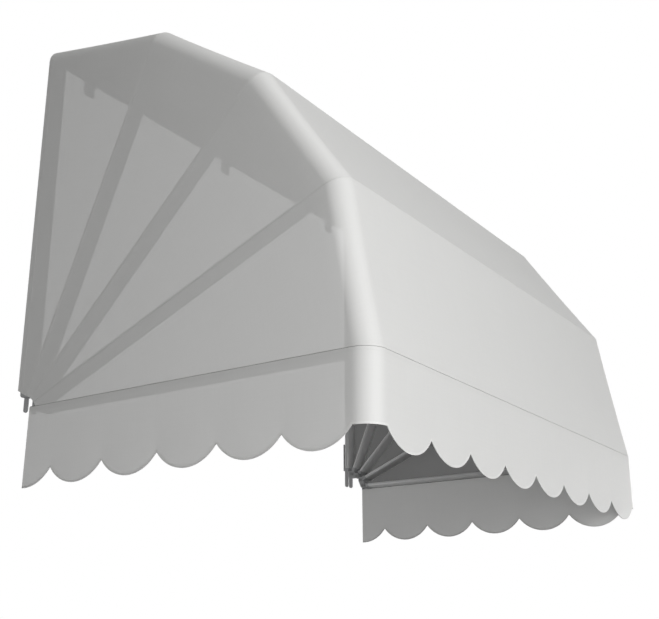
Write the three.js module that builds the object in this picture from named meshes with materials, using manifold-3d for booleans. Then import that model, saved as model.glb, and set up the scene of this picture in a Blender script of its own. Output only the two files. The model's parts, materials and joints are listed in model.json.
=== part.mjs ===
// A window awning of the Dutch-hood kind: five U-shaped hoops fan out of two side hinges, a fabric cover
// is stretched over them, and a scalloped valance hangs from the front hoop. Each hoop turns on the end
// fittings of the one before it, so that the fan closes into a flat stack against the wall.
//
// Millimetres, +Z up, +X to the right for somebody who faces the wall, -Y out of the wall. The wall is
// the plane y = 0, and the origin is on it, in the middle of the top bar.
import * as THREE from "three";
import { mergeVertices } from "three/addons/utils/BufferGeometryUtils.js";
import Module from "manifold-3d";

const wasm = await Module();
wasm.setup();

// ---------------------------------------------------------------- driving dimensions

const COVER_WIDTH = 1530; // over the outside of the two side cloths
const COVER_CORNER = 50; // outer radius where a side cloth turns into the top
const CLOTH = 1.6; // thickness of the cover and the valance
const HOOPS = [
  { name: "wall_hoop", reach: 1000 },
  { name: "upper_hoop", reach: 991 },
  { name: "middle_hoop", reach: 979 },
  { name: "lower_hoop", reach: 979 },
  { name: "front_hoop", reach: 967 },
]; // reach: from the hoop's hinge to the outside of the cover
const GORES = ["upper_gore", "middle_gore", "lower_gore", "front_gore"]; // each ends on the next hoop
const FOLD_STEP = THREE.MathUtils.degToRad(22.5); // from each hoop to the next when the awning is open
const HINGE_HEIGHT = -970; // height of the first hinge, below the middle of the top bar
const FIRST_HINGE = 34.5; // distance of the first hinge from the wall
const HINGE_PITCH = 22; // from each hinge to the next, square to the arm

const PROFILE = { width: 45, thickness: 12, wall: 2, edge: 2.5 }; // hoops 2 to 5
const WALL_PROFILE = { width: 45, thickness: 16, wall: 2, edge: 2.5 }; // hoop 1, on the wall
const STANDOFF = 4; // air between the wall and the wall hoop
const SIDE_AIR = 0.9; // between a side cloth and the arms
const TOP_AIR = 2.4; // between the cover and the bars of hoops 2 to 5
const WALL_BAR_AIR = 6.4; // between the cover and the top bar of the wall hoop

const GAP = 0.4; // between pieces that touch
const CORNER_RADIUS = 47; // outside of the moulded hoop corners
const SPIGOT = { length: 36, slack: 0.4 }; // the tongue of a corner or an end fitting in its tube

const KNUCKLE = { radius: 9, bore: 3.4, length: 18, space: 4, inset: 2.5 }; // eyes, side by side along X
const COLLAR = { from: 14, to: 24 }; // full-section shoulder of an end fitting, from its hinge
const RIVET = { radius: 3, head: 5, headLength: 2, tailHead: 4.5, tailLength: 1.6 };

const FOOT = { cheek: 4, apart: 22.5, front: 20, back: 6, bottom: -45 }; // forked foot of a hinge bracket
const WALL_PLATE = { thickness: 3.7, height: 96 };

const TAB = { width: 38, corner: 5, spacing: 615, below: 36, above: 8, shelf: 4, lip: 3.2, lipHeight: 6 };
const TAB_HOLE = { radius: 2.7, below: 20 };

// The valance, from the wall to its rear edge and its first cusp, and its heights from the front hoop.
const VALANCE = { rear: 49.5, firstCusp: 142.1, top: 5.4, cusp: 151.7, scallop: 43 };
const SIDE_SCALLOPS = 5; // whole ones, with half a one left at the wall end
const FRONT_SCALLOPS = 8;
const SCALLOP_STEPS = 6;
const CORNER_STEPS = 6;

const HALF_WIDTH = COVER_WIDTH / 2;
const ARM_OUTER = HALF_WIDTH - CLOTH - SIDE_AIR;

// ---------------------------------------------------------------- finishes

const finishes = {
  cloth: new THREE.MeshStandardMaterial({ color: 0xd9d9d6, roughness: 0.9, side: THREE.DoubleSide }),
  profile: new THREE.MeshStandardMaterial({ color: 0xb9bbbc, roughness: 0.4, metalness: 0.8 }),
  moulding: new THREE.MeshStandardMaterial({ color: 0xa9abac, roughness: 0.55, metalness: 0.1 }),
  casting: new THREE.MeshStandardMaterial({ color: 0x9c9ea0, roughness: 0.5, metalness: 0.7 }),
  rivet: new THREE.MeshStandardMaterial({ color: 0xc8cacc, roughness: 0.3, metalness: 1 }),
};

// ---------------------------------------------------------------- solids

// A closed three.js geometry as a solid that can be joined and cut.
function solid(geometry) {
  const bare = geometry.clone();
  bare.deleteAttribute("normal");
  bare.deleteAttribute("uv");
  const merged = mergeVertices(bare, 1e-4);
  return new wasm.Manifold(
    new wasm.Mesh({
      numProp: 3,
      vertProperties: new Float32Array(merged.attributes.position.array),
      triVerts: new Uint32Array(merged.index.array),
    }),
  );
}

function geometryOf(body) {
  const { vertProperties, triVerts } = body.getMesh();
  const geometry = new THREE.BufferGeometry();
  geometry.setAttribute("position", new THREE.BufferAttribute(new Float32Array(vertProperties), 3));
  geometry.setIndex(new THREE.BufferAttribute(new Uint32Array(triVerts), 1));
  geometry.computeVertexNormals();
  return geometry;
}

function joined(...geometries) {
  const whole = geometries.map(solid).reduce((sum, next) => sum.add(next));
  return geometryOf(whole);
}

// A box from its low and high corners.
function block(low, high) {
  const size = high.map((value, axis) => value - low[axis]);
  const centre = high.map((value, axis) => (value + low[axis]) / 2);
  return new THREE.BoxGeometry(...size).translate(...centre);
}

function corners([left, low], [right, high]) {
  return [[left, low], [left, high], [right, high], [right, low]].map(([x, y]) => new THREE.Vector2(x, y));
}

function roundedRectangle(path, width, height, radius) {
  const x = width / 2 - radius;
  const y = height / 2 - radius;
  path.absarc(x, y, radius, 0, Math.PI / 2);
  path.absarc(-x, y, radius, Math.PI / 2, Math.PI);
  path.absarc(-x, -y, radius, Math.PI, 1.5 * Math.PI);
  path.absarc(x, -y, radius, 1.5 * Math.PI, 2 * Math.PI);
  path.closePath();
  return path;
}

// An open-ended rectangular tube along +Z: its width lies along X and its thickness along Y.
function tube({ width, thickness, wall, edge }, length) {
  const section = roundedRectangle(new THREE.Shape(), width, thickness, edge);
  const [x, y] = [width / 2 - wall, thickness / 2 - wall];
  section.holes.push(new THREE.Path().setFromPoints(corners([-x, -y], [x, y])));
  return new THREE.ExtrudeGeometry(section, { depth: length, bevelEnabled: false, curveSegments: 2 });
}

// A flat plate across the arms: its outline is drawn in (y, z) and it runs from x = from to x = to.
function plateAcross(outline, from, to) {
  const depth = to - from;
  const plate = new THREE.ExtrudeGeometry(outline, { depth, bevelEnabled: false, curveSegments: 7 });
  const turn = new THREE.Matrix4().makeBasis(
    new THREE.Vector3(0, 1, 0),
    new THREE.Vector3(0, 0, 1),
    new THREE.Vector3(1, 0, 0),
  );
  return plate.applyMatrix4(turn).translate(from, 0, 0);
}

function hole(x, y, radius) {
  return new THREE.Path().absarc(x, y, radius, 0, 2 * Math.PI, true);
}

// Two hinge eyes and the bar between them, from (y0, 0) to (y1, 0) with y1 < y0, bored where asked.
function eyeLink(y0, y1, bores) {
  const link = new THREE.Shape();
  link.absarc(y0, 0, KNUCKLE.radius, -Math.PI / 2, Math.PI / 2);
  link.absarc(y1, 0, KNUCKLE.radius, Math.PI / 2, 1.5 * Math.PI);
  link.closePath();
  bores.forEach((y) => link.holes.push(hole(y, 0, KNUCKLE.bore)));
  return link;
}

// ---------------------------------------------------------------- hoops

// Every hoop is drawn in its own frame: X across the awning, Z along the arms, away from the hinge, and
// -Y towards the next hoop. reach is the distance from the hinge to the outside of the top bar.
const sides = [
  { side: "left", sign: -1 },
  { side: "right", sign: 1 },
];

function armTube(profile, reach, sign) {
  const length = reach - CORNER_RADIUS - GAP - COLLAR.to;
  return tube(profile, length).translate(sign * (ARM_OUTER - profile.width / 2), 0, COLLAR.to);
}

function barTube(profile, reach) {
  const length = 2 * (ARM_OUTER - CORNER_RADIUS - GAP);
  return tube(profile, length)
    .translate(0, 0, -length / 2)
    .rotateY(Math.PI / 2)
    .translate(0, 0, reach - profile.width / 2);
}

// The tongue that fits in a tube, along +Z from z = 0, started a little inside the piece it belongs to.
function spigot(profile) {
  const { length, slack } = SPIGOT;
  const width = profile.width - 2 * profile.wall - 2 * slack;
  const thickness = profile.thickness - 2 * profile.wall - 2 * slack;
  return block([-width / 2, -thickness / 2, -2], [width / 2, thickness / 2, length]);
}

// The moulded corner between an arm and the bar, with a tongue in each.
function hoopCorner(profile, reach, sign) {
  const inner = CORNER_RADIUS - profile.width;
  const elbow = new THREE.Shape();
  elbow.absarc(0, 0, CORNER_RADIUS, 0, Math.PI / 2);
  elbow.lineTo(0, inner);
  elbow.lineTo(inner, inner);
  elbow.lineTo(inner, 0);
  elbow.closePath();
  const { thickness } = profile;
  const body = new THREE.ExtrudeGeometry(elbow, { depth: thickness, bevelEnabled: false, curveSegments: 8 });
  body.translate(0, 0, -thickness / 2).rotateX(Math.PI / 2);
  const middle = CORNER_RADIUS - profile.width / 2;
  const intoArm = spigot(profile).rotateX(Math.PI).translate(middle, 0, 0);
  const intoBar = spigot(profile).rotateY(-Math.PI / 2).translate(0, 0, middle);
  const corner = joined(body, intoArm, intoBar);
  corner.translate(ARM_OUTER - CORNER_RADIUS, 0, reach - CORNER_RADIUS);
  return sign > 0 ? corner : mirrored(corner);
}

// The same piece for the other side of the awning.
function mirrored(geometry) {
  const other = geometry.clone().scale(-1, 1, 1);
  const index = other.index.array;
  for (let i = 0; i < index.length; i += 3) [index[i + 1], index[i + 2]] = [index[i + 2], index[i + 1]];
  other.computeVertexNormals();
  return other;
}

// The eyes of neighbouring hoops lie side by side, so each hoop uses the row of eyes that its
// neighbours leave free. The wall hoop has the inner one.
function eyeRow(hoop) {
  const inner = ARM_OUTER - PROFILE.width + KNUCKLE.inset;
  const from = inner + (hoop % 2 === 0 ? KNUCKLE.length + KNUCKLE.space : 0);
  return { from, to: from + KNUCKLE.length };
}

// The end fitting of hoops 2 to 5: a tongue in the arm, a shoulder, the eye of the hoop's own hinge and,
// on all but the last hoop, the eye that carries the next one.
function endFitting(hoop, sign) {
  const { from, to } = eyeRow(hoop);
  const last = hoop === HOOPS.length - 1;
  const eyes = last ? [0] : [0, -HINGE_PITCH];
  const middle = ARM_OUTER - PROFILE.width / 2;
  const half = PROFILE.thickness / 2;
  const fitting = joined(
    plateAcross(eyeLink(0, eyes.at(-1), eyes), from, to),
    block([from, -half, KNUCKLE.radius / 2 + 1], [to, half, COLLAR.from + 1]),
    block([ARM_OUTER - PROFILE.width, -half, COLLAR.from], [ARM_OUTER, half, COLLAR.to - GAP]),
    spigot(PROFILE).translate(middle, 0, COLLAR.to),
  );
  return sign > 0 ? fitting : mirrored(fitting);
}

// The rivet of one hinge, through both rows of eyes.
function hingeRivet(sign) {
  const from = eyeRow(1).from - GAP;
  const to = eyeRow(0).to + GAP;
  const { radius, head, headLength, tailHead, tailLength } = RIVET;
  const outline = [
    [0, from - headLength],
    [head, from - headLength],
    [head, from],
    [radius, from],
    [radius, to],
    [tailHead, to],
    [tailHead, to + tailLength],
    [0, to + tailLength],
  ];
  const rivet = new THREE.LatheGeometry(outline.map(([r, along]) => new THREE.Vector2(r, along)), 14);
  rivet.rotateZ(-Math.PI / 2);
  return sign > 0 ? rivet : rivet.rotateZ(Math.PI);
}

// ---------------------------------------------------------------- wall fittings

// The hinge bracket under each arm of the wall hoop: a wall plate behind the arm, a tongue up into it,
// the eye of the first hinge, and a forked foot that drops over a hook on the wall.
function hingeBracket(sign) {
  const { from, to } = eyeRow(0);
  const armFront = -STANDOFF - WALL_PROFILE.thickness;
  const armMiddle = -STANDOFF - WALL_PROFILE.thickness / 2;
  const inner = ARM_OUTER - WALL_PROFILE.width;
  const eyeBack = -STANDOFF - KNUCKLE.radius;
  const foot = new THREE.Shape();
  const footRadius = (FOOT.front - FOOT.back) / 2;
  foot.moveTo(-FOOT.back, COLLAR.from + 1);
  foot.lineTo(-FOOT.front, COLLAR.from + 1);
  foot.absarc(-FOOT.back - footRadius, FOOT.bottom + footRadius, footRadius, Math.PI, 2 * Math.PI);
  foot.closePath();
  const secondCheek = inner + FOOT.cheek + FOOT.apart;
  const bracket = joined(
    block([inner, -WALL_PLATE.thickness, COLLAR.from], [ARM_OUTER, 0, COLLAR.from + WALL_PLATE.height]),
    block([inner, armFront, COLLAR.from], [ARM_OUTER, 0, COLLAR.to - GAP]),
    spigot(WALL_PROFILE).translate(ARM_OUTER - WALL_PROFILE.width / 2, armMiddle, COLLAR.to),
    plateAcross(eyeLink(eyeBack, -FIRST_HINGE, [-FIRST_HINGE]), from, to),
    block([from, armFront, 0], [to, -STANDOFF, COLLAR.from + 1]),
    plateAcross(foot, inner, inner + FOOT.cheek),
    plateAcross(foot, secondCheek, secondCheek + FOOT.cheek),
  );
  return sign > 0 ? bracket : mirrored(bracket);
}

// The bracket that carries the top bar: a tab on the wall with a shelf and a lip under the bar.
function topBracket(barBottom, barTop) {
  const half = TAB.width / 2;
  const shelfTop = barBottom - GAP;
  const lipBack = -STANDOFF - WALL_PROFILE.thickness - GAP;
  const top = barTop - TAB.above;
  const bottom = barBottom - TAB.below;
  const middle = (top + bottom) / 2;
  const outline = roundedRectangle(new THREE.Shape(), TAB.width, top - bottom, TAB.corner);
  outline.holes.push(hole(0, barBottom - TAB_HOLE.below - middle, TAB_HOLE.radius));
  const depth = WALL_PLATE.thickness;
  const tab = new THREE.ExtrudeGeometry(outline, { depth, bevelEnabled: false, curveSegments: 4 });
  tab.rotateX(Math.PI / 2).translate(0, 0, middle);
  return joined(
    tab,
    block([-half, lipBack - TAB.lip, shelfTop - TAB.shelf], [half, -1, shelfTop]),
    block([-half, lipBack - TAB.lip, shelfTop - TAB.shelf], [half, lipBack, shelfTop + TAB.lipHeight]),
  );
}

// ---------------------------------------------------------------- cloth

// How far from the wall the front hoop's hinge is when the awning is open.
function frontHingeDepth() {
  let depth = FIRST_HINGE;
  for (let step = 1; step < GORES.length; step++) depth += HINGE_PITCH * Math.cos(step * FOLD_STEP);
  return depth;
}

// The outline of the cover across the awning, as a thin band: up one side, over, and down the other.
// Its straight sides are one unit high, and its corners and top lie above that.
function coverBand() {
  const band = new THREE.Shape();
  const x = HALF_WIDTH - COVER_CORNER;
  const inside = COVER_CORNER - CLOTH;
  band.moveTo(HALF_WIDTH, 0);
  band.absarc(x, 1, COVER_CORNER, 0, Math.PI / 2);
  band.absarc(-x, 1, COVER_CORNER, Math.PI / 2, Math.PI);
  band.lineTo(-HALF_WIDTH, 0);
  band.lineTo(-HALF_WIDTH + CLOTH, 0);
  band.absarc(-x, 1, inside, Math.PI, Math.PI / 2, true);
  band.absarc(x, 1, inside, Math.PI / 2, 0, true);
  band.lineTo(HALF_WIDTH - CLOTH, 0);
  band.closePath();
  return band;
}

// One gore of the cover, stretched between two edges. An edge says where the cloth starts and ends along
// the arms of its hoop, how far it lies from the middle of that hoop, and, for the second edge, that its
// hoop is the next one of the fan.
function gore(first, second) {
  const options = { depth: 1, bevelEnabled: false, curveSegments: CORNER_STEPS };
  const geometry = new THREE.ExtrudeGeometry(coverBand(), options);
  const points = geometry.attributes.position;
  const point = new THREE.Vector3();
  const place = ({ start, end, offset, hinge, turn }, x, up) => {
    const straight = end - COVER_CORNER - start;
    const along = up < 1 ? start + up * straight : end - COVER_CORNER + (up - 1);
    return point.set(x, offset, along).applyAxisAngle(new THREE.Vector3(1, 0, 0), turn).add(hinge);
  };
  for (let i = 0; i < points.count; i++) {
    const edge = points.getZ(i) < 0.5 ? first : second;
    const { x, y, z } = place(edge, points.getX(i), points.getY(i));
    points.setXYZ(i, x, y, z);
  }
  return geometry;
}

// How far a scallop reaches below its two cusps: an arc of a circle, along from one cusp to the other.
function scallopDrop(along, pitch) {
  const radius = pitch ** 2 / (8 * VALANCE.scallop) + VALANCE.scallop / 2;
  return Math.sqrt(radius ** 2 - (along - pitch / 2) ** 2) - (radius - VALANCE.scallop);
}

// The stations of the valance in the front hoop's frame, from the rear edge of the right side cloth
// forwards, along the front, and back to the rear edge of the left one: a point on the outside of the
// cloth, the cloth's outward normal there, and how far it reaches below the level of the cusps.
function valanceStations() {
  const reach = HOOPS.at(-1).reach;
  const rear = VALANCE.rear - frontHingeDepth();
  const firstCusp = VALANCE.firstCusp - frontHingeDepth();
  const sideEnd = reach - COVER_CORNER;
  const frontEnd = HALF_WIDTH - COVER_CORNER;
  const sidePitch = (sideEnd - firstCusp) / SIDE_SCALLOPS;
  const frontPitch = (2 * frontEnd) / FRONT_SCALLOPS;
  const side = [];
  const rearSteps = SCALLOP_STEPS / 2;
  for (let i = 0; i < rearSteps; i++) {
    const z = rear + ((firstCusp - rear) * i) / rearSteps;
    side.push({ x: HALF_WIDTH, z, nx: 1, nz: 0, drop: scallopDrop(firstCusp - z, sidePitch) });
  }
  for (let i = 0; i <= SIDE_SCALLOPS * SCALLOP_STEPS; i++) {
    const along = (sidePitch * i) / SCALLOP_STEPS;
    const drop = scallopDrop(along % sidePitch, sidePitch);
    side.push({ x: HALF_WIDTH, z: firstCusp + along, nx: 1, nz: 0, drop });
  }
  for (let i = 1; i < CORNER_STEPS; i++) {
    const angle = (i / CORNER_STEPS) * (Math.PI / 2);
    const [nx, nz] = [Math.cos(angle), Math.sin(angle)];
    side.push({ x: frontEnd + COVER_CORNER * nx, z: sideEnd + COVER_CORNER * nz, nx, nz, drop: 0 });
  }
  const front = [];
  for (let i = 0; i <= FRONT_SCALLOPS * SCALLOP_STEPS; i++) {
    const along = (frontPitch * i) / SCALLOP_STEPS;
    const drop = scallopDrop(along % frontPitch, frontPitch);
    front.push({ x: frontEnd - along, z: reach, nx: 0, nz: 1, drop });
  }
  const otherSide = side.toReversed().map((station) => ({ ...station, x: -station.x, nx: -station.nx }));
  return [...side, ...front, ...otherSide];
}

// The valance: one long strip, bent round the front hoop and cut in scallops along its lower edge.
function valance() {
  const stations = valanceStations();
  const length = stations.length - 1;
  const strip = new THREE.BoxGeometry(length, 1, 1, length, 1, 1).translate(length / 2, 0.5, 0.5);
  const points = strip.attributes.position;
  for (let i = 0; i < points.count; i++) {
    const { x, z, nx, nz, drop } = stations[Math.round(points.getX(i))];
    const inward = CLOTH * points.getZ(i);
    const height = points.getY(i) > 0.5 ? VALANCE.top : -VALANCE.cusp - drop;
    points.setXYZ(i, x - inward * nx, height, z - inward * nz);
  }
  return strip;
}

// ---------------------------------------------------------------- assembly

function mesh(name, geometry, material) {
  const made = new THREE.Mesh(geometry, material);
  made.name = name;
  return made;
}

function addHoopTubes(group, name, profile, reach) {
  group.add(mesh(`${name}_bar`, barTube(profile, reach), finishes.profile));
  sides.forEach(({ side, sign }) => {
    group.add(mesh(`${name}_${side}_arm`, armTube(profile, reach, sign), finishes.profile));
    group.add(mesh(`${name}_${side}_corner`, hoopCorner(profile, reach, sign), finishes.moulding));
  });
}

const awning = new THREE.Group();
const onWall = new THREE.Group();
onWall.position.z = HINGE_HEIGHT;
awning.add(onWall);

const wallHoop = new THREE.Group();
wallHoop.position.y = -STANDOFF - WALL_PROFILE.thickness / 2;
const wallReach = HOOPS[0].reach - WALL_BAR_AIR;
addHoopTubes(wallHoop, HOOPS[0].name, WALL_PROFILE, wallReach);
onWall.add(wallHoop);

sides.forEach(({ side, sign }) => {
  onWall.add(mesh(`${side}_hinge_bracket`, hingeBracket(sign), finishes.casting));
});
["left", "middle", "right"].forEach((place, i) => {
  const bracket = topBracket(wallReach - WALL_PROFILE.width, wallReach);
  bracket.translate((i - 1) * TAB.spacing, 0, 0);
  onWall.add(mesh(`${place}_top_bracket`, bracket, finishes.casting));
});

// The other hoops: each group turns in the one before it, on a hinge one pitch further on, and a gore of
// the cover joins the two.
let carrier = onWall;
const centre = new THREE.Vector3();
let upperEdge = { start: KNUCKLE.radius, end: HOOPS[0].reach, offset: 0, turn: 0, hinge: centre };
HOOPS.slice(1).forEach(({ name, reach }, i) => {
  const last = i === GORES.length - 1;
  const hoop = new THREE.Group();
  hoop.position.y = i === 0 ? -FIRST_HINGE : -HINGE_PITCH;
  hoop.rotation.x = FOLD_STEP;
  carrier.add(hoop);

  addHoopTubes(hoop, name, PROFILE, reach - CLOTH - TOP_AIR);
  sides.forEach(({ side, sign }) => {
    hoop.add(mesh(`${name}_${side}_end_fitting`, endFitting(i + 1, sign), finishes.casting));
    const rivet = hingeRivet(sign).translate(0, hoop.position.y, 0);
    carrier.add(mesh(`${name}_${side}_rivet`, rivet, finishes.rivet));
  });

  const edge = { start: -KNUCKLE.radius, end: reach, offset: -GAP, turn: 0, hinge: centre };
  const lowerOffset = last ? PROFILE.thickness / 2 : GAP;
  const lowerEdge = { ...edge, offset: lowerOffset, turn: hoop.rotation.x, hinge: hoop.position.clone() };
  carrier.add(mesh(GORES[i], gore(upperEdge, lowerEdge), finishes.cloth));
  if (last) hoop.add(mesh("valance", valance(), finishes.cloth));
  upperEdge = edge;
  carrier = hoop;
});

export default awning;
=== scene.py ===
# %% [markdown]
# # A folding window awning
# The awning is a fan of five U-shaped hoops that turn on two chains of hinges at the wall. A cloth cover is
# stretched over the hoops and a scalloped valance hangs from the front one. The hoops, hinges and brackets
# come ready made as a fixed frame in metres. This lesson adds what makes them look real: the cloth, its seams
# and stitches, softened castings, and the finish of every surface.

# %% Load the frame
import json
import math
import bmesh
import bpy
from mathutils import Matrix, Vector, noise


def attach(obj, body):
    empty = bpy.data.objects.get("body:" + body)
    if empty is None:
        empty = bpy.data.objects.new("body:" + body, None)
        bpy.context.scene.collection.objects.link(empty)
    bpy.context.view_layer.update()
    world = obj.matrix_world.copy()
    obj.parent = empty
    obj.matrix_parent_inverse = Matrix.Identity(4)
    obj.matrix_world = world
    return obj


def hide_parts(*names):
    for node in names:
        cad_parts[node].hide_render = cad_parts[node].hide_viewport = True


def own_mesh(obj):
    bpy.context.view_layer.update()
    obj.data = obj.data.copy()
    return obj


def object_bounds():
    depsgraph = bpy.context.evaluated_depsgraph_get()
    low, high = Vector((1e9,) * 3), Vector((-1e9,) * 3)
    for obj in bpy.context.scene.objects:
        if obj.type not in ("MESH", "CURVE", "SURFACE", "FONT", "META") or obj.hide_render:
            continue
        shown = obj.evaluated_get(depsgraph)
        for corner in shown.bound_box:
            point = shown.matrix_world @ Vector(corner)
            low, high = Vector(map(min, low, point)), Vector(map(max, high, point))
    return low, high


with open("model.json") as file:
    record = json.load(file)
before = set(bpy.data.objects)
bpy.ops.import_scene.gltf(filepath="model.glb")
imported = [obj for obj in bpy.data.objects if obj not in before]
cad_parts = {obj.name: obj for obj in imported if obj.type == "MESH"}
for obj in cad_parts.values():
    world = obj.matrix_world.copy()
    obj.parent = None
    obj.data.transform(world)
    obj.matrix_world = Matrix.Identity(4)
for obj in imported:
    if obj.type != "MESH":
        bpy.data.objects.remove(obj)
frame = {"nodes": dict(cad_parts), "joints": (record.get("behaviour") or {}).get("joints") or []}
cad_low, cad_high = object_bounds()
print("frame:", len(frame["nodes"]), "nodes, from", cad_low[:], "to", cad_high[:])

# %% [markdown]
# The camera stands below and in front of the awning, at its left, and looks up at it. Lens and place together
# set the perspective, so both are fixed here. View transform Standard keeps a white background white.

# %% Camera
CAMERA_PLACE = Vector((-2.4376, -2.0771, -1.591))
CAMERA_TURN = math.radians(34.13)  # from +X towards +Y
CAMERA_PITCH = math.radians(18.328)
CAMERA_LENS = 57.08

camera = bpy.data.objects.new("camera", bpy.data.cameras.new("camera"))
bpy.context.scene.collection.objects.link(camera)
camera.data.lens = CAMERA_LENS
camera.data.sensor_width = 36
camera.location = CAMERA_PLACE
level = Vector((math.cos(CAMERA_TURN), math.sin(CAMERA_TURN), 0)) * math.cos(CAMERA_PITCH)
sight = level + Vector((0, 0, math.sin(CAMERA_PITCH)))
camera.rotation_mode = "QUATERNION"
camera.rotation_quaternion = sight.to_track_quat("-Z", "Y")
bpy.context.scene.camera = camera
bpy.context.scene.view_settings.view_transform = "Standard"
print("camera:", round(camera.data.lens, 2), "mm lens")

# %% [markdown]
# ## Tools for materials
# A material here is a Principled shader with patterns plugged into it. Patterns that several materials use
# are node groups: built once, they keep the graph short, and each material sets its own numbers on them.

# %% Node helpers
def set_inputs(tree, made, values):
    """Sets a node's inputs, each to a number, a colour or a socket."""
    for name, value in values.items():
        if isinstance(value, bpy.types.NodeSocket):
            tree.links.new(value, made.inputs[name])
        else:
            made.inputs[name].default_value = value


def node(tree, kind, values=None, **settings):
    """A new node: settings are its properties, values its inputs."""
    made = tree.nodes.new("ShaderNode" + kind)
    for name, value in settings.items():
        setattr(made, name, value)
    set_inputs(tree, made, values or {})
    return made


def maths(tree, operation, a, b=0.0, clamp=False):
    return node(tree, "Math", {0: a, 1: b}, operation=operation, use_clamp=clamp).outputs[0]


def ranged(tree, value, low, high):
    """A value from 0 to 1, stretched to run from low to high."""
    return node(tree, "MapRange", {"Value": value, "To Min": low, "To Max": high}).outputs[0]


def front_side(tree):
    """1 on the side of a face that its normal points to, 0 on its back."""
    backfacing = node(tree, "NewGeometry").outputs["Backfacing"]
    return maths(tree, "SUBTRACT", 1.0, backfacing)


def pattern_group(name, inputs, outputs):
    """A node group with float or vector inputs and float outputs, and its input and output sockets."""
    group = bpy.data.node_groups.new(name, "ShaderNodeTree")
    for label, kind, value in inputs:
        socket = group.interface.new_socket(
            label, in_out="INPUT", socket_type="NodeSocket" + kind
        )
        if value is not None:
            socket.default_value = value
    for label in outputs:
        group.interface.new_socket(label, in_out="OUTPUT", socket_type="NodeSocketFloat")
    given = group.nodes.new("NodeGroupInput").outputs
    return group, given, group.nodes.new("NodeGroupOutput").inputs


def use_group(tree, group, values):
    made = tree.nodes.new("ShaderNodeGroup")
    made.node_tree = group
    set_inputs(tree, made, values)
    return made.outputs


def new_material(name):
    """A material with a Principled shader, and its node tree and shader."""
    material = bpy.data.materials.new(name)
    material.use_nodes = True
    shader = material.node_tree.nodes["Principled BSDF"]
    return material, material.node_tree, shader


def colour_between(tree, shader, factor, dark, light):
    """Colours a surface from dark, where the factor is 0, to light, where it is 1."""
    values = {"Factor": factor, "A": dark, "B": light}
    mixed = node(tree, "Mix", values, data_type="RGBA")
    tree.links.new(mixed.outputs["Result"], shader.inputs["Base Color"])


def raise_bumps(tree, shader, height, strength, distance):
    values = {"Height": height, "Strength": strength, "Distance": distance}
    bump = node(tree, "Bump", values)
    tree.links.new(bump.outputs[0], shader.inputs["Normal"])


# %% [markdown]
# ## The studio
# A studio shot has one large soft key light, weaker fills from below, the right and behind, and a bright room
# around the object. The room is the World. Light Path lets it look white to the camera while it lights the
# object with less than that.

# %% Room and lights
WHITE = (1, 1, 1, 1)
ROOM_LIGHT = 0.16
FLOOR_HEIGHT = -2.6
FLOOR_SIZE = 300
# Where each light is seen from the awning: turn (from straight in front towards the left) and height in
# degrees, then distance and size in metres, and watts.
LIGHTS = {
    "key": (15, 6, 8.0, 3.0, 430),
    "top": (0, 80, 5.0, 3.0, 50),
    "low_fill": (54, -12, 5.0, 1.5, 66),
    "right_fill": (-80, -5, 5.0, 2.0, 45),
    "back": (180, -12, 5.0, 2.5, 95),
}
MIDDLE = (cad_low + cad_high) / 2

world = bpy.data.worlds.new("studio")
bpy.context.scene.world = world
world.use_nodes = True
tree = world.node_tree
tree.nodes.clear()
seen = node(tree, "Background", {"Color": WHITE})
lighting = node(tree, "Background", {"Color": WHITE, "Strength": ROOM_LIGHT})
to_camera = node(tree, "LightPath").outputs["Is Camera Ray"]
mix = node(tree, "MixShader", {0: to_camera, 1: lighting.outputs[0], 2: seen.outputs[0]})
node(tree, "OutputWorld", {"Surface": mix.outputs[0]})


def area_light(name, turn, height, distance, size, watts):
    """A square light that looks at the awning from a direction given in degrees."""
    turn, height = math.radians(turn), math.radians(height)
    light = bpy.data.lights.new(name, "AREA")
    light.size = size
    light.energy = watts
    lamp = bpy.data.objects.new(name, light)
    bpy.context.scene.collection.objects.link(lamp)
    away = Vector((-math.sin(turn), -math.cos(turn), 0)) * math.cos(height)
    away.z = math.sin(height)
    lamp.location = MIDDLE + away * distance
    lamp.rotation_mode = "QUATERNION"
    lamp.rotation_quaternion = (-away).to_track_quat("-Z", "Y")


for name, numbers in LIGHTS.items():
    area_light(name, *numbers)

bm = bmesh.new()
floor_place = Matrix.Translation((0, 0, FLOOR_HEIGHT))
bmesh.ops.create_grid(bm, x_segments=1, y_segments=1, size=FLOOR_SIZE, matrix=floor_place)
floor = bpy.data.objects.new("floor", bpy.data.meshes.new("floor"))
bm.to_mesh(floor.data)
bm.free()
bpy.context.scene.collection.objects.link(floor)

# %% [markdown]
# Awning canvas is a plain weave: warp threads run one way, weft threads the other, and each passes over and
# under its neighbours. The product of two sine waves gives the bumps where a thread is on top. Long streaks
# along both directions are threads that were spun a little thicker, and a slow cloud is the uneven dye.

# %% Woven canvas pattern
WARP_STREAKS = (220, 7, 1)  # streaks per metre along each axis
WEFT_STREAKS = (7, 220, 1)
CLOUDS_PER_METRE = 5.0
SLUB_SHADE = 0.3
CLOUD_SHADE = 0.3
THREAD_SHADE = 0.06

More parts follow.
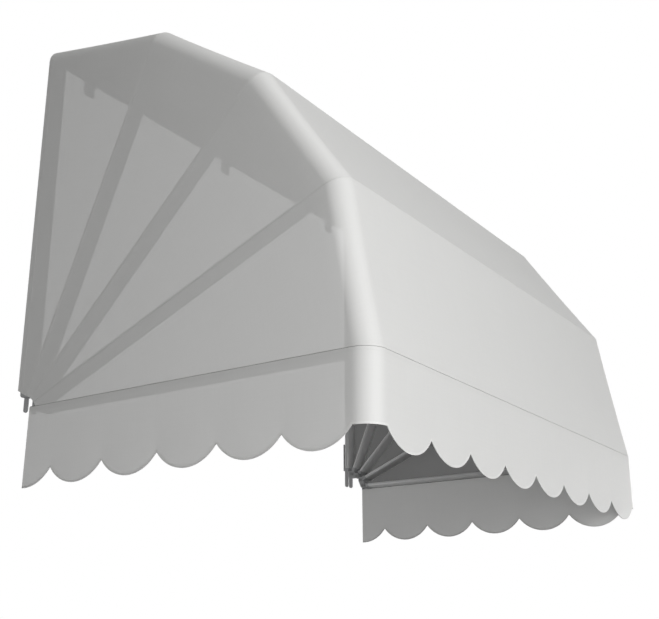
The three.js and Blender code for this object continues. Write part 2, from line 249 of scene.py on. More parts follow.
weave, given, result = pattern_group(
    "woven canvas",
    [("Vector", "Vector", None), ("Threads per metre", "Float", 900.0)],
    ["Height", "Shade", "Gaps"],
)
tree = weave
per_metre = given["Threads per metre"]
threads = node(tree, "VectorMath", {0: given["Vector"], 3: per_metre}, operation="SCALE")
split = node(tree, "SeparateXYZ", {0: threads.outputs[0]})
warp = maths(tree, "SINE", maths(tree, "MULTIPLY", split.outputs[0], math.pi))
weft = maths(tree, "SINE", maths(tree, "MULTIPLY", split.outputs[1], math.pi))
crossing = maths(tree, "MULTIPLY", warp, weft)
streaks = []
for stretch in (WARP_STREAKS, WEFT_STREAKS):
    line = node(tree, "Mapping", {"Vector": given["Vector"], "Scale": stretch})
    values = {"Vector": line.outputs[0], "Scale": 1.0, "Detail": 2.0}
    streaks.append(node(tree, "TexNoise", values).outputs["Fac"])
values = {"Vector": given["Vector"], "Scale": CLOUDS_PER_METRE, "Detail": 3.0}
cloud = node(tree, "TexNoise", values).outputs["Fac"]
slubs = maths(tree, "ADD", streaks[0], streaks[1])
shade = maths(tree, "MULTIPLY", slubs, SLUB_SHADE)
shade = maths(tree, "ADD", shade, maths(tree, "MULTIPLY", cloud, CLOUD_SHADE))
thread_shade = maths(tree, "MULTIPLY", crossing, THREAD_SHADE)
shade = maths(tree, "ADD", shade, thread_shade, clamp=True)
gap = maths(tree, "MULTIPLY", maths(tree, "ABSOLUTE", warp), maths(tree, "ABSOLUTE", weft))
tree.links.new(crossing, result["Height"])
tree.links.new(shade, result["Shade"])
tree.links.new(maths(tree, "SUBTRACT", 1.0, gap), result["Gaps"])
print("pattern:", weave.name)

# %% [markdown]
# The canvas lets a little light straight through between its threads, so the hoops show faintly from outside.
# The cloth pieces have two faces with a wall between them. Backfacing makes the far one invisible from inside
# that wall, so the cloth is seen, and thinned, only once.

# %% Canvas material
CANVAS_LIGHT = (0.735, 0.735, 0.725, 1)
CANVAS_DARK = (0.675, 0.675, 0.663, 1)
SHADED_INSIDE_LIGHT = (0.22, 0.22, 0.217, 1)  # the inside of the cover is coloured dark, as painted shade for the hollow of the hood
SHADED_INSIDE_DARK = (0.18, 0.18, 0.177, 1)
# The dark strip behind the front gap: its colour is painted shade for the slot there.
SHADE_STRIP_LIGHT = (0.26, 0.26, 0.26, 1)
SHADE_STRIP_DARK = (0.20, 0.20, 0.20, 1)
THREADS_PER_METRE = 1400
SEE_THROUGH = 0.925  # the cover's opacity; the rest of the light goes straight through
WEAVE_CONTRAST = 0.02  # how much the opacity rises on a thread and falls in a gap


def canvas(name, light, dark, opacity):
    """Woven canvas that reads the piece's own UV map, which is in metres."""
    material, tree, shader = new_material(name)
    place = node(tree, "UVMap", uv_map="UVMap")
    values = {"Vector": place.outputs[0], "Threads per metre": THREADS_PER_METRE}
    cloth = use_group(tree, weave, values)
    colour_between(tree, shader, cloth["Shade"], dark, light)
    tree.links.new(ranged(tree, cloth["Shade"], 0.58, 0.46), shader.inputs["Roughness"])
    raise_bumps(tree, shader, cloth["Height"], strength=0.25, distance=0.0002)
    if opacity < 1:
        on_thread, in_gap = opacity + WEAVE_CONTRAST, opacity - WEAVE_CONTRAST
        open_weave = ranged(tree, cloth["Gaps"], on_thread, in_gap)
        shown = maths(tree, "MULTIPLY", open_weave, front_side(tree))
        tree.links.new(shown, shader.inputs["Alpha"])
    shader.inputs["Specular IOR Level"].default_value = 0.5
    return material


cover_canvas = canvas("cover canvas", CANVAS_LIGHT, CANVAS_DARK, SEE_THROUGH)
hem_canvas = canvas("hem canvas", CANVAS_LIGHT, CANVAS_DARK, 1.0)
# The gores' inside faces take a dark colour, which is painted shade inside the hood; the valance keeps its
# light canvas inside.
painted_shade_inside = canvas(
    "inside of the cover, painted shade", SHADED_INSIDE_LIGHT, SHADED_INSIDE_DARK, SEE_THROUGH
)
# A dark strip behind the gap at the front bar, whose colour is painted shade for the slot.
shade_strip_canvas = canvas("dark strip, painted shade", SHADE_STRIP_LIGHT, SHADE_STRIP_DARK, 1.0)
for made in (cover_canvas, hem_canvas, painted_shade_inside, shade_strip_canvas):
    print("canvas:", made.name)

# %% [markdown]
# Sewing thread is polyester with a slight shine, twisted from two yarns. The twist is a fine diagonal stripe.

# %% Thread material
THREAD_DARK = (0.58, 0.58, 0.57, 1)
THREAD_LIGHT = (0.7, 0.7, 0.69, 1)

twist, given, result = pattern_group(
    "thread twist", [("Vector", "Vector", None)], ["Height", "Shade"]
)
values = {"Vector": given["Vector"], "Scale": 300.0, "Distortion": 1.0}
wave = node(twist, "TexWave", values, bands_direction="DIAGONAL")
twist.links.new(wave.outputs["Fac"], result["Height"])
twist.links.new(wave.outputs["Fac"], result["Shade"])

thread, tree, shader = new_material("sewing thread")
place = node(tree, "TexCoord").outputs["Object"]
yarn = use_group(tree, twist, {"Vector": place})
colour_between(tree, shader, yarn["Shade"], THREAD_DARK, THREAD_LIGHT)
raise_bumps(tree, shader, yarn["Height"], strength=0.4, distance=0.0001)
shader.inputs["Roughness"].default_value = 0.5
print("thread:", thread.name)

# %% [markdown]
# The hoops are drawn aluminium tube, anodised satin. Drawing leaves fine lines along the tube, so the pattern
# is a noise stretched 150 times in that direction, and each hoop's Mapping turns it to lie along its tube.

# %% Drawn metal pattern
METAL_DARK = (0.76, 0.76, 0.76, 1)
METAL_LIGHT = (0.90, 0.90, 0.895, 1)
LINES_PER_METRE = (900, 900, 6)  # across, across and along the tube

drawn, given, result = pattern_group(
    "drawn lines", [("Vector", "Vector", None)], ["Lines", "Cloud"]
)
fine = node(drawn, "Mapping", {"Vector": given["Vector"], "Scale": LINES_PER_METRE})
values = {"Vector": fine.outputs[0], "Scale": 1.0, "Detail": 3.0, "Roughness": 0.6}
lines = node(drawn, "TexNoise", values)
cloud = node(drawn, "TexNoise", {"Vector": given["Vector"], "Scale": 9.0, "Detail": 4.0})
drawn.links.new(lines.outputs["Fac"], result["Lines"])
drawn.links.new(cloud.outputs["Fac"], result["Cloud"])


def anodised(name, tilt, across):
    """Satin anodised tube, with its lines tilted from upright to follow the arms, or across along X."""
    material, tree, shader = new_material(name)
    turn = (0, math.pi / 2, 0) if across else (tilt, 0, 0)
    place = node(tree, "TexCoord").outputs["Object"]
    turned = node(tree, "Mapping", {"Vector": place, "Rotation": turn})
    metal = use_group(tree, drawn, {"Vector": turned.outputs[0]})
    worn = maths(tree, "MULTIPLY", metal["Lines"], metal["Cloud"])
    colour_between(tree, shader, worn, METAL_DARK, METAL_LIGHT)
    tree.links.new(ranged(tree, metal["Cloud"], 0.34, 0.50), shader.inputs["Roughness"])
    raise_bumps(tree, shader, metal["Lines"], strength=0.2, distance=0.0001)
    shader.inputs["Metallic"].default_value = 0.1
    return material


print("pattern:", drawn.name)

# %% [markdown]
# The corners are moulded nylon with a spark-eroded grain, the hinge fittings are die castings with a duller,
# coarser skin. One grain pattern serves both: fine noise for the skin and a slow cloud for handling and age.

# %% Moulded and cast finishes
GRAIN_SHARE = 0.4  # of the colour's change; the cloud makes the rest
FLOOR_GLOW = 0.60

skin, given, result = pattern_group(
    "grained skin",
    [("Vector", "Vector", None), ("Grains per metre", "Float", 900.0)],
    ["Grain", "Cloud"],
)
values = {"Vector": given["Vector"], "Scale": given["Grains per metre"], "Detail": 2.0}
grain = node(skin, "TexNoise", values)
cloud = node(skin, "TexNoise", {"Vector": given["Vector"], "Scale": 40.0, "Detail": 4.0})
skin.links.new(grain.outputs["Fac"], result["Grain"])
skin.links.new(cloud.outputs["Fac"], result["Cloud"])


def grained(name, dark, light, grains, depth, rough, metallic=0.0):
    """A surface with a grained skin: dark and light are its colours, rough the range of its roughness."""
    material, tree, shader = new_material(name)
    place = node(tree, "TexCoord").outputs["Object"]
    cover = use_group(tree, skin, {"Vector": place, "Grains per metre": grains})
    from_grain = maths(tree, "MULTIPLY", cover["Grain"], GRAIN_SHARE)
    from_cloud = maths(tree, "MULTIPLY", cover["Cloud"], 1 - GRAIN_SHARE)
    blend = maths(tree, "ADD", from_grain, from_cloud)
    colour_between(tree, shader, blend, (*dark, 1), (*light, 1))
    tree.links.new(ranged(tree, cover["Cloud"], *rough), shader.inputs["Roughness"])
    raise_bumps(tree, shader, cover["Grain"], strength=0.5, distance=depth)
    shader.inputs["Metallic"].default_value = metallic
    return material


nylon = grained(
    "moulded nylon", dark=(0.62, 0.62, 0.62), light=(0.74, 0.74, 0.74),
    grains=1400, depth=0.00008, rough=(0.45, 0.6),
)
casting = grained(
    "die casting", dark=(0.50, 0.505, 0.51), light=(0.66, 0.665, 0.67),
    grains=700, depth=0.00015, rough=(0.4, 0.62), metallic=0.25,
)
steel = grained(
    "rivet steel", dark=(0.42, 0.42, 0.42), light=(0.62, 0.62, 0.61),
    grains=1800, depth=0.00005, rough=(0.25, 0.42), metallic=1.0,
)
plaster = grained(
    "studio floor", dark=(0.14, 0.14, 0.14), light=(0.18, 0.18, 0.18),
    grains=60, depth=0.0005, rough=(0.8, 0.95),
)
# The floor looks pale to the camera but lights the awning little, and can't be seen from below.
tree = plaster.node_tree
shader = tree.nodes["Principled BSDF"]
to_camera = node(tree, "LightPath").outputs["Is Camera Ray"]
tree.links.new(maths(tree, "MULTIPLY", to_camera, FLOOR_GLOW), shader.inputs["Emission Strength"])
shader.inputs["Emission Color"].default_value = WHITE
tree.links.new(front_side(tree), shader.inputs["Alpha"])
floor.data.materials.append(plaster)
print("finishes:", nylon.name, casting.name, steel.name)

# %% [markdown]
# ## The cover
# The cover is four gores, one between each pair of neighbouring hoops. Each hoop stands in its own plane, so
# one function gives the line where the cloth folds over a hoop: up one arm, round the corner, across and
# down. All four gores are drawn from these five lines. The hoops' hinges come from the frame's joints.

# %% The five lines of the cover
HALF_WIDTH = 0.765
CORNER = 0.050
REACHES = (1.000, 0.991, 0.979, 0.979, 0.967)
FOOT = 0.009  # the cloth starts this far above the first hinge and behind the others
TURN_STEP = math.radians(22.5)
FOLD_GAP = 0.0003  # each gore turns in just short of the fold
FRONT_RISE = 0.006  # the front gore ends on top of the front bar, not in its plane
CORNER_STEPS = 12
ARM_PIECES = 30
BAR_PIECES = 48
WALL_FOOT = Vector((0, 0, -0.970))  # reaches on the wall hoop are measured from here
JOINTS = ("fold_upper", "fold_middle", "fold_lower", "fold_front")

hinges = [WALL_FOOT]
for joint in JOINTS:
    pivot = next(j for j in frame["joints"] if j["name"] == joint)["pos_m"]
    hinges.append(Vector((0, pivot[1], pivot[2])))


def hoop_place(hoop):
    """The matrix from a hoop's own frame, with its arms along Z, to its place in the awning."""
    return Matrix.Translation(hinges[hoop]) @ Matrix.Rotation(hoop * TURN_STEP, 4, "X")


def foot_of(hoop):
    return FOOT if hoop == 0 else -FOOT


def draw(bm, vert, step, pieces=1):
    """Draws a straight line from a vertex in so many pieces: extrudes it by step, and returns its end."""
    for _ in range(pieces):
        made = bmesh.ops.extrude_vert_indiv(bm, verts=[vert])
        vert = made["verts"][0]
        bmesh.ops.translate(bm, verts=[vert], vec=Vector(step) / pieces)
    return vert


def turn_corner(bm, vert, centre, axis):
    """Draws a quarter arc from a vertex round a centre, and returns its last vertex."""
    made = bmesh.ops.spin(
        bm, geom=[vert], cent=centre, axis=axis, angle=math.pi / 2, steps=CORNER_STEPS
    )
    return next(v for v in made["geom_last"] if isinstance(v, bmesh.types.BMVert))


def in_order(first, last):
    """The vertices of an open line, from its first to its last."""
    line = [first]
    while line[-1] != last:
        ends = [e.other_vert(line[-1]) for e in line[-1].link_edges]
        line.append(next(v for v in ends if v not in line[-2:]))
    return line


def hoop_line(bm, hoop, rise=0.0):
    """Draws the edge of a gore along a hoop, risen from its plane, and returns its vertices in order."""
    arm = REACHES[hoop] - CORNER - foot_of(hoop)
    shoulder = REACHES[hoop] - CORNER
    inner = HALF_WIDTH - CORNER
    first = bmesh.ops.create_vert(bm, co=(-HALF_WIDTH, 0, foot_of(hoop)))["vert"][0]
    end = draw(bm, first, (0, 0, arm), ARM_PIECES)
    end = turn_corner(bm, end, (-inner, 0, shoulder), (0, 1, 0))
    end = draw(bm, end, (2 * inner, 0, 0), BAR_PIECES)
    end = turn_corner(bm, end, (inner, 0, shoulder), (0, 1, 0))
    end = draw(bm, end, (0, 0, -arm), ARM_PIECES)
    line = in_order(first, end)
    raised = hoop_place(hoop) @ Matrix.Translation((0, rise, 0))
    bmesh.ops.transform(bm, matrix=raised, verts=line)
    return line


def lengths(line):
    """How far along a line each of its points is."""
    total = [0.0]
    for a, b in zip(line, line[1:]):
        total.append(total[-1] + (a.co - b.co).length)
    return total


bm = bmesh.new()
line = hoop_line(bm, 0)
print("wall hoop's line:", len(line), "points,", round(lengths(line)[-1], 3), "m")
bm.free()

# %% [markdown]
# A gore is bridged between two of those lines and subdivided across. Cloth stretched between two rails always
# dips a little in the middle, most where it spans furthest, so each point moves inwards along its normal by a
# parabola. The side dips least, because the arms run close behind it. The UV map is in metres of cloth.

# %% A gore's surface
GORES = ("upper_gore", "middle_gore", "lower_gore", "front_gore")
ROWS = 16
SIDE_DIP = 0.002  # of the span, at mid-span
TOP_DIP = 0.005
SHARP = math.radians(35)  # edges that turn more than this stay crisp


def cloth_mesh():
    """An empty mesh whose points can say how far along and across the flat cloth they are."""
    bm = bmesh.new()
    bm.verts.layers.float.new("along")
    bm.verts.layers.float.new("across")
    return bm


def cloth_layers(bm):
    return bm.verts.layers.float["along"], bm.verts.layers.float["across"]


def mark_along(bm, line):
    """Writes to each point of a line how far along it is."""
    along, _ = cloth_layers(bm)
    for vert, distance in zip(line, lengths(line)):
        vert[along] = distance


def face_outwards(bm, inside):
    """Turns a sheet's faces away from a point inside."""
    bmesh.ops.recalc_face_normals(bm, faces=bm.faces)
    if sum(f.normal.dot(f.calc_center_median() - inside) for f in bm.faces) < 0:
        bmesh.ops.reverse_faces(bm, faces=bm.faces)
    bm.normal_update()


def gore_surface(hoop):
    """The cover between a hoop and the next one: bridged, subdivided, dipped, and facing outwards."""
    bm = cloth_mesh()
    _, across = cloth_layers(bm)
    top_gap = -FOLD_GAP if hoop else 0.0
    end_rise = FRONT_RISE if hoop == len(GORES) - 1 else FOLD_GAP
    lines = [hoop_line(bm, hoop, top_gap), hoop_line(bm, hoop + 1, end_rise)]
    for line in lines:
        mark_along(bm, line)
    spans = [(a.co - b.co).length for a, b in zip(*lines)]
    for vert, span in zip(lines[1], spans):
        vert[across] = span
    rails = [bm.edges.get(pair) for line in lines for pair in zip(line, line[1:])]
    made = bmesh.ops.bridge_loops(bm, edges=rails)
    rungs = {e for f in made["faces"] for e in f.edges} - set(rails)
    bmesh.ops.subdivide_edges(bm, edges=list(rungs), cuts=ROWS - 1)
    face_outwards(bm, MIDDLE)
    first, second = hoop_place(hoop).inverted(), hoop_place(hoop + 1).inverted()
    moves = []
    for vert in bm.verts:
        near = abs((first @ vert.co).y - top_gap)
        far = abs((second @ vert.co).y - end_rise)
        span = near + far
        share = near / span
        dip = SIDE_DIP + (TOP_DIP - SIDE_DIP) * (1 - abs(vert.normal.x)) ** 2
        moves.append((vert, -vert.normal * dip * span * 4 * share * (1 - share)))
    for vert, move in moves:
        vert.co += move
    return bm


def lay_uv(bm):
    """Writes each point's place in the flat cloth, in metres, to the UV map."""
    along, across = cloth_layers(bm)
    uv = bm.loops.layers.uv.new("UVMap")
    for face in bm.faces:
        for loop in face.loops:
            loop[uv].uv = (loop.vert[along], loop.vert[across])


def smooth_faces(piece):
    """Smooth shading that stays crisp at edges such as the cut edge of cloth."""
    piece.data.shade_smooth()
    piece.data.set_sharp_from_angle(angle=SHARP)


def to_piece(bm, name, material):
    """Turns a bmesh into a finished object at the origin."""
    mesh = bpy.data.meshes.new(name)
    bm.to_mesh(mesh)
    bm.free()
    piece = bpy.data.objects.new(name, mesh)
    bpy.context.scene.collection.objects.link(piece)
    mesh.materials.append(material)
    smooth_faces(piece)
    return piece


def apply_modifiers(piece):
    """Makes a piece's modifiers part of its mesh."""
    bpy.context.view_layer.update()
    shaped = piece.evaluated_get(bpy.context.evaluated_depsgraph_get())
    done = bpy.data.meshes.new_from_object(shaped)
    piece.modifiers.clear()
    piece.data = done
    done.name = piece.name
    smooth_faces(piece)


def give_wall(piece, thickness, offset, inside=None):
    """Gives a sheet its thickness, inside its surface where offset is -1, with another material inside."""
    wall = piece.modifiers.new("wall", "SOLIDIFY")
    if inside:
        piece.data.materials.append(inside)
        wall.material_offset = 1
    wall.thickness = thickness
    wall.offset = offset
    wall.use_even_offset = False
    apply_modifiers(piece)


# %% [markdown]
# Each gore takes the place of the plain one in the frame, and is attached to the body of the hoop it starts
# from.

# %% The four gores
CLOTH = 0.0014
HOOPS = ("wall_hoop", "upper_hoop", "middle_hoop", "lower_hoop", "front_hoop")
BODIES = ("wall_frame", "upper_hoop", "middle_hoop", "lower_hoop", "front_hoop")


def towards_next(hoop):
    """The direction square to a hoop's plane, towards the next hoop."""
    return Vector((0, -math.cos(hoop * TURN_STEP), -math.sin(hoop * TURN_STEP)))


for hoop, name in enumerate(GORES):
    bm = gore_surface(hoop)
    lay_uv(bm)
    piece = to_piece(bm, name + "_cloth", cover_canvas)
    # The inside face gets the dark colour, which is painted shade.
    give_wall(piece, CLOTH, -1, painted_shade_inside)
    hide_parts(name)
    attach(piece, BODIES[hoop])
    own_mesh(piece)

# %% [markdown]
# The gores are joined by flat seams that lie along the hoops, and the edge at the wall is hemmed. Outside, a
# seam is only a fold and two rows of stitches, because the spare canvas is turned in. So its shape is the
# gores' own surface near the hoop, cut off with a plane on each side (bisect_plane) and moved in by the
# cloth's wall.

# %% Seams and hems
SEAM_HALF = 0.006
SEAM_CLOTH = 0.0004
WALL_HEM = 0.022
TINY = 1e-6  # lengths below this count as none


def near_hoop(gore, hoop, distance):
    """The part of a gore's surface within a distance of a hoop's plane."""
    bm = gore_surface(gore)
    side = towards_next(hoop) * (1 if gore == hoop else -1)
    whole = list(bm.verts) + list(bm.edges) + list(bm.faces)
    place = hinges[hoop] + side * distance
    bmesh.ops.bisect_plane(
        bm, geom=whole, plane_co=place, plane_no=side, clear_outer=True, dist=TINY
    )
    return bm


def join(bm, other):
    """Adds a second bmesh to a first and merges where they meet."""
    mesh = bpy.data.meshes.new("joined")
    other.to_mesh(mesh)
    other.free()
    bm.from_mesh(mesh)
    bpy.data.meshes.remove(mesh)
    bmesh.ops.remove_doubles(bm, verts=bm.verts, dist=3 * FOLD_GAP)
    return bm


def canvas_strip(bm, name, hoop):
    """A second layer of canvas behind the cover's surface at a hoop."""
    bm.normal_update()
    for vert in bm.verts:
        vert.co -= vert.normal * (CLOTH + SEAM_CLOTH / 4)
    lay_uv(bm)
    piece = to_piece(bm, name, hem_canvas)
    give_wall(piece, SEAM_CLOTH, -1)
    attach(piece, BODIES[hoop])
    print(piece.name, len(piece.data.polygons), "faces")
    return piece


for hoop, name in ((1, "upper_seam"), (2, "middle_seam"), (3, "lower_seam")):
    above, below = (near_hoop(gore, hoop, SEAM_HALF) for gore in (hoop - 1, hoop))
    canvas_strip(join(above, below), name, hoop)
wall_hem = canvas_strip(near_hoop(0, 0, WALL_HEM), "wall_hem", 0)

# %% [markdown]
# Two rows of stitches run along each seam, one along the wall hem and one along the front. A stitch is a few
# millimetres of thread that bulges out of the cloth. One is modelled, an Array repeats it in a straight row,
# and a Curve modifier bends the row along the seam. The curve's points are where a plane parallel to the hoop
# cuts the cloth.

# %% Stitches
STITCH_PITCH = 0.006
STITCH_SIZE = (0.0021, 0.00028, 0.00028)
STITCH_LIFT = 0.0001
WALL_STITCHES = 0.018  # how far each row runs from its hoop's plane
SEAM_STITCHES = 0.005
FRONT_STITCHES = 0.0125


def stitch_row(name, path):
    """A row of stitches along a path of points."""
    bm = bmesh.new()
    lying = Matrix.Rotation(math.pi / 2, 4, "Y")
    bmesh.ops.create_uvsphere(bm, u_segments=5, v_segments=4, radius=1, matrix=lying)
    bmesh.ops.scale(bm, vec=STITCH_SIZE, verts=bm.verts)
    bmesh.ops.translate(bm, vec=(STITCH_PITCH / 2, 0, 0), verts=bm.verts)
    row = to_piece(bm, name, thread)
    curve = bpy.data.curves.new(name + "_path", "CURVE")
    curve.dimensions = "3D"
    spline = curve.splines.new("POLY")
    spline.points.add(len(path) - 1)
    for point, place in zip(spline.points, path):
        point.co = (*place, 1)
    guide = bpy.data.objects.new(name + "_path", curve)
    bpy.context.scene.collection.objects.link(guide)
    repeat = row.modifiers.new("repeat", "ARRAY")
    repeat.use_relative_offset = False
    repeat.use_constant_offset = True
    repeat.constant_offset_displace = (STITCH_PITCH, 0, 0)
    length = sum((a - b).length for a, b in zip(path, path[1:]))
    repeat.count = int(length / STITCH_PITCH)
    bend = row.modifiers.new("bend", "CURVE")
    bend.object = guide
    apply_modifiers(row)
    bpy.data.objects.remove(guide)
    return row


def seam_path(gore, hoop, distance):
    """The points of the cover's outside at a distance from a hoop's plane, in order along it."""
    bm = near_hoop(gore, hoop, distance)
    along, _ = cloth_layers(bm)
    bm.normal_update()
    out = towards_next(hoop)
    edge = [v for v in bm.verts if abs(abs((v.co - hinges[hoop]).dot(out)) - distance) < 10 * TINY]
    edge.sort(key=lambda v: v[along])
    path = [v.co + v.normal * STITCH_LIFT for v in edge]
    bm.free()
    return path


stitches = []
row_distances = (WALL_STITCHES, SEAM_STITCHES, SEAM_STITCHES, SEAM_STITCHES, FRONT_STITCHES)
for gore in range(len(GORES)):
    for hoop, side in ((gore, "_stitches_below"), (gore + 1, "_stitches_above")):
        row = stitch_row(HOOPS[hoop] + side, seam_path(gore, hoop, row_distances[hoop]))
        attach(row, BODIES[hoop])
        stitches.append(row)
stitch_faces = sum(len(row.data.polygons) for row in stitches)
print("stitches:", stitch_faces, "faces in", len(stitches), "rows")

# %% [markdown]
# ## The valance
# The valance is one strip that hangs round the front hoop: 5 scallops and a part of one on each side, 8 in
# front, none round the corners. Its upper edge is drawn from cusp to cusp in plan, then extruded down to the
# scalloped edge. A scallop is an arc of a circle, so its depth follows from how far along it a point is.

# %% The valance's outline
VALANCE_TOP = -1.0093  # a narrow gap under the front gore lets the dark strip behind it show, as painted shade for the slot
CUSP_LEVEL = -1.166
SCALLOP = 0.043
REAR = -0.0495  # where a side of the valance ends at the wall, along Y
FIRST_CUSP = -0.1421
SIDE_END = -0.9958  # its last cusp, where the corner begins
SIDE_SCALLOPS = 5
FRONT_SCALLOPS = 8
SCALLOP_STEPS = 20
SIDE_PITCH = (FIRST_CUSP - SIDE_END) / SIDE_SCALLOPS
FRONT_PITCH = 2 * (HALF_WIDTH - CORNER) / FRONT_SCALLOPS


def arc_drop(along, pitch):
    """How far a scallop reaches below its cusps, at a distance along it."""
    radius = pitch ** 2 / (8 * SCALLOP) + SCALLOP / 2
    return math.sqrt(radius ** 2 - (along - pitch / 2) ** 2) - radius + SCALLOP


def drop_below(point):
    """How far the valance reaches below the level of the cusps at a point of its plan."""
    if point.y > SIDE_END + TINY:
        return arc_drop((FIRST_CUSP - point.y) % SIDE_PITCH, SIDE_PITCH)
    if abs(point.x) < HALF_WIDTH - CORNER - TINY:
        return arc_drop((point.x + HALF_WIDTH - CORNER) % FRONT_PITCH, FRONT_PITCH)
    return 0.0


def valance_line(bm, height):
    """Draws the valance's plan at a height and returns its vertices in order."""
    inner = HALF_WIDTH - CORNER
    first = bmesh.ops.create_vert(bm, co=(-HALF_WIDTH, REAR, height))["vert"][0]
    end = draw(bm, first, (0, FIRST_CUSP - REAR, 0), SCALLOP_STEPS // 2)
    end = draw(bm, end, (0, SIDE_END - FIRST_CUSP, 0), SIDE_SCALLOPS * SCALLOP_STEPS)
    end = turn_corner(bm, end, (-inner, SIDE_END, height), (0, 0, 1))
    end = draw(bm, end, (2 * inner, 0, 0), FRONT_SCALLOPS * SCALLOP_STEPS)
    end = turn_corner(bm, end, (inner, SIDE_END, height), (0, 0, 1))
    end = draw(bm, end, (0, FIRST_CUSP - SIDE_END, 0), SIDE_SCALLOPS * SCALLOP_STEPS)
    end = draw(bm, end, (0, REAR - FIRST_CUSP, 0), SCALLOP_STEPS // 2)
    return in_order(first, end)


bm = bmesh.new()
line = valance_line(bm, VALANCE_TOP)
print("valance:", round(lengths(line)[-1], 3), "m round,", len(line), "points")
bm.free()

# %% [markdown]
# Loose cloth never hangs quite flat. Each scallop bows outwards a little below the bar. The bow is smallest
# at the cusps, where the binding pulls the edge straight.

# %% The valance
VALANCE_ROWS = 14
VALANCE_MIDDLE = Vector((0, -0.5, -1.1))
BOW = 0.0013
SCALLOP_BOW = 0.8  # the share of the bow that grows with the scallop
WANDER_BOW = 0.3  # the share that wanders along the strip
WANDERS_PER_METRE = 3
MOST_DOWN = 1.25  # the bow grows no further than this far down, where a cusp is at 1


def bow_out(vert, outwards):
    """Bows a point of the valance outwards by how far it hangs down its own scallop."""
    drop = drop_below(vert.co) / SCALLOP
    down = (VALANCE_TOP - vert.co.z) / (VALANCE_TOP - CUSP_LEVEL)
    x, y = vert.co.x * WANDERS_PER_METRE, vert.co.y * WANDERS_PER_METRE
    wander = noise.noise(Vector((x, y, 0))) * WANDER_BOW
    hanging = math.sin(min(down, 1.0) * math.pi / 2)
    vert.co += outwards * BOW * (drop * SCALLOP_BOW + wander) * hanging * min(down, MOST_DOWN)


def bow_all(bm, inset=0.0):
    """Moves every point of a strip in by an inset and bows it out, both along the normal it has now."""
    normals = {v: v.normal.copy() for v in bm.verts}
    for vert, normal in normals.items():
        vert.co -= normal * inset
        bow_out(vert, normal)


def new_points(made):
    """The vertices that an extrusion has made."""
    return [v for v in made["geom"] if isinstance(v, bmesh.types.BMVert)]


bm = cloth_mesh()
_, across = cloth_layers(bm)
mark_along(bm, valance_line(bm, VALANCE_TOP))
made = bmesh.ops.extrude_edge_only(bm, edges=list(bm.edges))
for vert in new_points(made):
    vert.co.z = CUSP_LEVEL - drop_below(vert.co)
    vert[across] = VALANCE_TOP - vert.co.z
half_deep = (VALANCE_TOP - CUSP_LEVEL) / 2
sides = [e for e in bm.edges if abs(e.verts[0].co.z - e.verts[1].co.z) > half_deep]
bmesh.ops.subdivide_edges(bm, edges=sides, cuts=VALANCE_ROWS - 1)
face_outwards(bm, VALANCE_MIDDLE)
bow_all(bm)
lay_uv(bm)
valance = to_piece(bm, "valance_cloth", cover_canvas)
give_wall(valance, CLOTH, -1)
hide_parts("valance")

# %% [markdown]
# A dark strip runs round the front hoop, behind the front gore's lower edge and the valance's upper edge.
# Only a hair line of it shows from outside, in the gap between the two, and its dark colour is painted shade
# for that slot.

# %% Dark strip, painted shade
SHADE_STRIP_TOP = -1.0072
SHADE_STRIP_WIDTH = 0.014
SHADE_STRIP_DEPTH = 0.0006
SHADE_STRIP_GAP = 0.0001


def plain_strip(top, width):
    """A strip with straight edges along the valance's plan, from a height down by its width."""
    bm = cloth_mesh()
    _, across = cloth_layers(bm)
    mark_along(bm, valance_line(bm, top))
    lower_edge = new_points(bmesh.ops.extrude_edge_only(bm, edges=list(bm.edges)))
    bmesh.ops.translate(bm, verts=lower_edge, vec=(0, 0, -width))
    for vert in lower_edge:
        vert[across] = width
    face_outwards(bm, VALANCE_MIDDLE)
    return bm


bm = plain_strip(SHADE_STRIP_TOP, SHADE_STRIP_WIDTH)
for vert in bm.verts:
    vert.co -= vert.normal * (CLOTH + SHADE_STRIP_GAP)
lay_uv(bm)
shade_strip = to_piece(bm, "front_shade_strip", shade_strip_canvas)
give_wall(shade_strip, SHADE_STRIP_DEPTH, -1)
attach(shade_strip, "front_hoop")
print(shade_strip.name, len(shade_strip.data.polygons), "faces")

# %% [markdown]
# The raw edge is bound with a folded tape. The tape follows the scallops, so it starts as the lower edge of
# the valance, is extruded once up into the cloth, square to the edge, and then gets a wall on both sides.

# %% Binding along the scallops
TAPE = 0.005
TAPE_WALL = 0.0017
LEAST_RISE = 0.6  # limits how far the step at a cusp is lengthened
UPRIGHT = 0.999  # a step that rises more than this goes straight up
BINDING_STITCH_HEIGHT = 0.0035
HEM_STITCH_DEPTH = 0.0075


def step_up(line, i, width):
    """The step from a point of the scalloped edge to the tape's upper edge, square to the edge."""
    back, ahead = line[max(i - 1, 0)].co, line[min(i + 1, len(line) - 1)].co
    run = Vector((ahead.x - back.x, ahead.y - back.y, 0)).normalized()
    slope = (ahead - back).normalized()
    up = Vector((0, 0, 1)) * slope.dot(run) - run * slope.z
    if abs(up.z) < UPRIGHT and drop_below(line[i].co) < TINY:
        return up / max(up.z, LEAST_RISE) * width
    return up * width


def binding(width):
    """The bound edge: a strip of the valance's surface along its scallops."""
    bm = cloth_mesh()
    _, across = cloth_layers(bm)
    line = valance_line(bm, CUSP_LEVEL)
    mark_along(bm, line)
    for vert in line:
        vert.co.z = CUSP_LEVEL - drop_below(vert.co)
    steps = [step_up(line, i, width) for i in range(len(line))]
    upper = new_points(bmesh.ops.extrude_edge_only(bm, edges=list(bm.edges)))
    by_place = {tuple(round(c, 5) for c in v.co): v for v in upper}
    for vert, step in zip(line, steps):
        twin = by_place[tuple(round(c, 5) for c in vert.co)]
        twin.co += step
        twin[across] = width
    face_outwards(bm, VALANCE_MIDDLE)
    bow_all(bm, inset=CLOTH / 2)
    lay_uv(bm)
    return bm


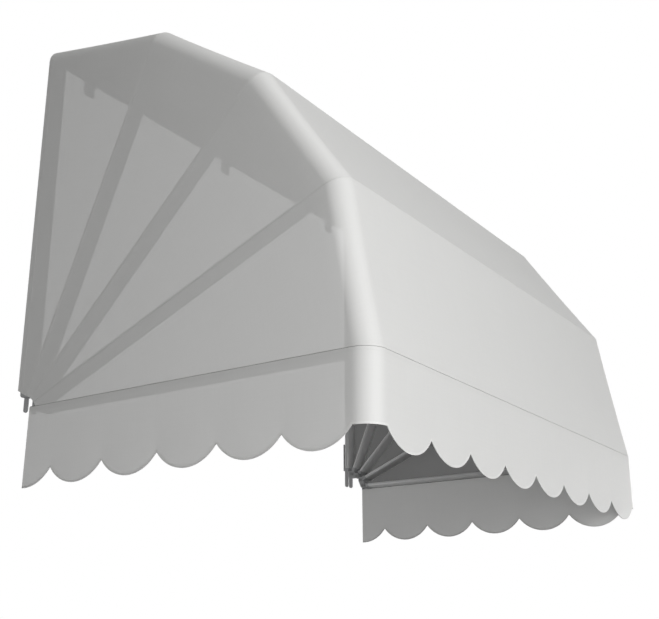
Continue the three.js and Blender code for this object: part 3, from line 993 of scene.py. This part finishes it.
bound_edge = to_piece(binding(TAPE), "valance_binding", hem_canvas)
give_wall(bound_edge, TAPE_WALL, 0)
print(bound_edge.name, len(bound_edge.data.polygons), "faces")


def edge_points(bm, distance_across, outwards):
    """The points of a strip at a distance across it, in order along it, moved out along their normals."""
    along, across = cloth_layers(bm)
    edge = [v for v in bm.verts if abs(v[across] - distance_across) < TINY]
    edge.sort(key=lambda v: v[along])
    return [v.co + v.normal * outwards for v in edge]


bm = binding(BINDING_STITCH_HEIGHT)
bm.normal_update()
path = edge_points(bm, BINDING_STITCH_HEIGHT, TAPE_WALL / 2)
binding_stitches = stitch_row("valance_binding_stitches", path)
bm.free()
bm = plain_strip(VALANCE_TOP - HEM_STITCH_DEPTH, HEM_STITCH_DEPTH)
hem_stitches = stitch_row("valance_hem_stitches", edge_points(bm, 0, STITCH_LIFT))
bm.free()
for row in (binding_stitches, hem_stitches):
    print(row.name, len(row.data.polygons), "faces")

for piece in (valance, bound_edge, binding_stitches, hem_stitches):
    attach(piece, "front_hoop")
    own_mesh(piece)

# %% [markdown]
# ## The hard parts
# The hoops are flat-oval tube, rounded at both narrow sides. Each arm and bar is a block of the frame's size
# whose four long edges are rounded off with a bevel. Modelled upright in its hoop's own frame, a tube needs
# one turn to lie in place. Its lines of drawing follow it, so the arms of each hoop have their own material.

# %% Oval tubes
EDGE_ROUND = 0.0052
END_ROUND = 0.0006
ALONG_BAR, ALONG_ARM = 0, 2  # the axis of a tube's length in its hoop's own frame


def own_box(name, place):
    """The corners of a frame solid's box in its hoop's own frame."""
    to_hoop = place.inverted()
    points = [to_hoop @ vert.co for vert in frame["nodes"][name].data.vertices]
    low = Vector([min(p[i] for p in points) for i in range(3)])
    high = Vector([max(p[i] for p in points) for i in range(3)])
    return low, high


def rise(edge, axis):
    """How far an edge runs along an axis."""
    return abs((edge.verts[0].co - edge.verts[1].co)[axis])


def round_off(bm, edges, radius, segments):
    bmesh.ops.bevel(
        bm, geom=edges, offset=radius, segments=segments, profile=0.5, affect="EDGES", material=-1
    )


def oval_tube(name, hoop, material, long_axis):
    """A rounded tube in the place of a plain one of the frame."""
    low, high = own_box(name, hoop_place(hoop))
    bm = bmesh.new()
    bmesh.ops.create_cube(bm, size=1)
    bmesh.ops.scale(bm, vec=high - low, verts=bm.verts)
    bmesh.ops.translate(bm, vec=(low + high) / 2, verts=bm.verts)
    span = (high - low)[long_axis]
    long_edges = [e for e in bm.edges if rise(e, long_axis) > span / 2]
    round_off(bm, long_edges, EDGE_ROUND, segments=6)
    ends = [e for e in bm.edges if rise(e, long_axis) < TINY]
    round_off(bm, ends, END_ROUND, segments=2)
    bmesh.ops.transform(bm, matrix=hoop_place(hoop), verts=bm.verts)
    piece = to_piece(bm, name + "_tube", material)
    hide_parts(name)
    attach(piece, BODIES[hoop])


across_metal = anodised("hoop bar, lines along X", 0, True)
for hoop, name in enumerate(HOOPS):
    arm_metal = anodised(name + " arms", -hoop * TURN_STEP, False)
    oval_tube(name + "_bar", hoop, across_metal, ALONG_BAR)
    oval_tube(name + "_left_arm", hoop, arm_metal, ALONG_ARM)
    oval_tube(name + "_right_arm", hoop, arm_metal, ALONG_ARM)
print("tubes:", 3 * len(HOOPS), "with edges rounded by", EDGE_ROUND * 1000, "mm")

# %% [markdown]
# The corners, fittings, brackets and rivets of the frame have the right shape, so they keep it and get their
# finishes.

# %% Finishes on the frame's solids
def finish_node(name, material):
    """Gives a solid of the frame one material."""
    slots = frame["nodes"][name].data.materials
    slots.clear()
    slots.append(material)


FINISHES = {"_corner": nylon, "_rivet": steel, "_end_fitting": casting, "_bracket": casting}
for name in frame["nodes"]:
    for ending, material in FINISHES.items():
        if name.endswith(ending):
            finish_node(name, material)
print("finished", sum(o.hide_render is False for o in frame["nodes"].values()), "solids of the frame")
